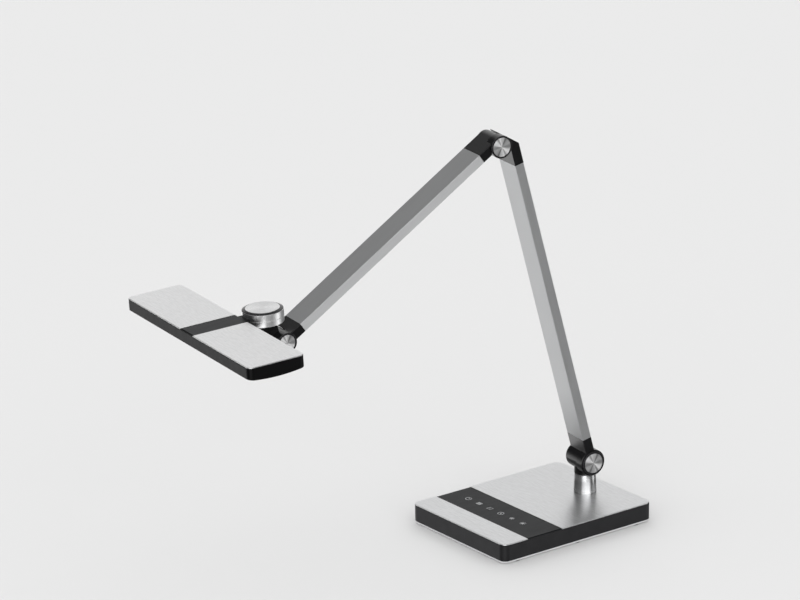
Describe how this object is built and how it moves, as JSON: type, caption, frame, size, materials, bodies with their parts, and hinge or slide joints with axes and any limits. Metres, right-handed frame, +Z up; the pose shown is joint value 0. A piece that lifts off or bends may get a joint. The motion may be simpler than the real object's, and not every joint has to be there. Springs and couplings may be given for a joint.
{
  "type": "desk lamp",
  "caption": "Articulated LED desk lamp: heavy flat base with a touch strip, turning post, two flat arms with friction pivots, and a long flat light head that tilts and turns.",
  "frame": {"origin": "centre of the base's footprint, on the surface that the feet stand on", "axes": "+X to the right, -Y towards the user (the edge with the touch strip), +Z up; the arms rest turned slightly about the post, reaching out over the -Y edge"},
  "size_m": [0.2682, 0.5115, 0.4372],
  "materials": {
    "base_rim": "fine satin texture",
    "base_floor": "matt light grey paint",
    "base_feet": "matt",
    "floor_screws": "zinc plated",
    "weight_screws": "zinc plated",
    "base_weight": "as cast, black oxide",
    "front_plate": "fine brushed",
    "rear_plate": "fine brushed",
    "touch_panel": "satin",
    "touch_icons": "pale grey print",
    "touch_board": "solder resist",
    "driver_board": "solder resist",
    "dc_jack": "moulded",
    "input_lead": "moulded",
    "post": "turned satin",
    "post_stud": "zinc plated",
    "post_nut": "zinc plated",
    "shoulder_yoke": "fine satin texture",
    "swivel_axle": "turned",
    "shoulder_bolt": "black oxide",
    "shoulder_nuts": "zinc plated",
    "shoulder_washers": "zinc plated",
    "shoulder_left_cover": "fine satin texture",
    "lower_arm_tube": "fine brushed along the arm",
    "lower_arm_bottom_cap": "fine satin texture",
    "lower_arm_top_cap": "fine satin texture",
    "shoulder_ring": "satin",
    "shoulder_disc": "radially turned",
    "elbow_ring": "satin",
    "elbow_disc": "radially turned",
    "upper_arm_tube": "fine brushed along the arm",
    "upper_arm_rear_cap": "fine satin texture",
    "upper_arm_front_cap": "fine satin texture",
    "elbow_bolt": "black oxide",
    "elbow_nut": "zinc plated",
    "elbow_washers": "zinc plated",
    "elbow_left_cover": "fine satin texture",
    "wrist_ring": "satin",
    "wrist_disc": "radially turned",
    "wrist_bracket": "fine satin texture",
    "wrist_bolt": "black oxide",
    "wrist_nuts": "zinc plated",
    "wrist_washers": "zinc plated",
    "wrist_left_cover": "fine satin texture",
    "head_swivel_bolt": "zinc plated",
    "puck_lower_shell": "turned satin",
    "puck_upper_shell": "turned satin",
    "puck_trim": "satin",
    "puck_disc": "radially turned",
    "head_frame": "fine satin texture",
    "head_plate_left": "fine brushed",
    "head_plate_right": "fine brushed",
    "head_spine": "fine satin texture",
    "neck_screws": "zinc plated",
    "reflector_sheet": "white film",
    "light_guide": "clear polished",
    "led_strip": "white solder resist",
    "leds": "phosphor yellow",
    "diffuser": "opal white"
  },
  "bodies": {
    "base": {"base_rim": "base_rim", "base_floor": "base_floor", "base_feet": "base_feet", "floor_screws": "floor_screws", "weight_screws": "weight_screws", "base_weight": "base_weight", "front_plate": "front_plate", "rear_plate": "rear_plate", "touch_panel": "touch_panel", "touch_icons": "touch_icons", "touch_board": "touch_board", "driver_board": "driver_board", "dc_jack": "dc_jack", "input_lead": "input_lead", "post": "post", "post_stud": "post_stud", "post_nut": "post_nut"},
    "swivel": {"shoulder_yoke": "shoulder_yoke", "swivel_axle": "swivel_axle", "shoulder_bolt": "shoulder_bolt", "shoulder_nuts": "shoulder_nuts", "shoulder_washers": "shoulder_washers", "shoulder_left_cover": "shoulder_left_cover"},
    "lower_arm": {"lower_arm_tube": "lower_arm_tube", "lower_arm_bottom_cap": "lower_arm_bottom_cap", "lower_arm_top_cap": "lower_arm_top_cap", "shoulder_ring": "shoulder_ring", "shoulder_disc": "shoulder_disc", "elbow_ring": "elbow_ring", "elbow_disc": "elbow_disc"},
    "upper_arm": {"upper_arm_tube": "upper_arm_tube", "upper_arm_rear_cap": "upper_arm_rear_cap", "upper_arm_front_cap": "upper_arm_front_cap", "elbow_bolt": "elbow_bolt", "elbow_nut": "elbow_nut", "elbow_washers": "elbow_washers", "elbow_left_cover": "elbow_left_cover", "wrist_ring": "wrist_ring", "wrist_disc": "wrist_disc"},
    "head_bracket": {"wrist_bracket": "wrist_bracket", "wrist_bolt": "wrist_bolt", "wrist_nuts": "wrist_nuts", "wrist_washers": "wrist_washers", "wrist_left_cover": "wrist_left_cover", "head_swivel_bolt": "head_swivel_bolt"},
    "head": {"puck_lower_shell": "puck_lower_shell", "puck_upper_shell": "puck_upper_shell", "puck_trim": "puck_trim", "puck_disc": "puck_disc", "head_frame": "head_frame", "head_plate_left": "head_plate_left", "head_plate_right": "head_plate_right", "head_spine": "head_spine", "neck_screws": "neck_screws", "reflector_sheet": "reflector_sheet", "light_guide": "light_guide", "led_strip": "led_strip", "leds": "leds", "diffuser": "diffuser"}
  },
  "joints": [
    {"name": "base_swivel", "type": "hinge", "parent": "base", "child": "swivel", "pos_m": [0.0095, 0.065, 0.0395], "axis": [0, 0, 1], "range_deg": [-90, 90]},
    {"name": "shoulder_tilt", "type": "hinge", "parent": "swivel", "child": "lower_arm", "pos_m": [0.0095, 0.065, 0.0592], "axis": [0.9907, -0.1357, 0], "range_deg": [-45, 30]},
    {"name": "elbow_fold", "type": "hinge", "parent": "lower_arm", "child": "upper_arm", "pos_m": [-0.0054, -0.04375, 0.4252], "axis": [-0.9907, 0.1357, 0], "range_deg": [-50, 80]},
    {"name": "head_tilt", "type": "hinge", "parent": "upper_arm", "child": "head_bracket", "pos_m": [-0.03953, -0.2929, 0.2588], "axis": [0.9907, -0.1357, 0], "range_deg": [-25, 60]},
    {"name": "head_swivel", "type": "hinge", "parent": "head_bracket", "child": "head", "pos_m": [-0.04193, -0.31046, 0.28931], "axis": [-0.0071, -0.0519, 0.9986], "range_deg": [-90, 90]}
  ]
}
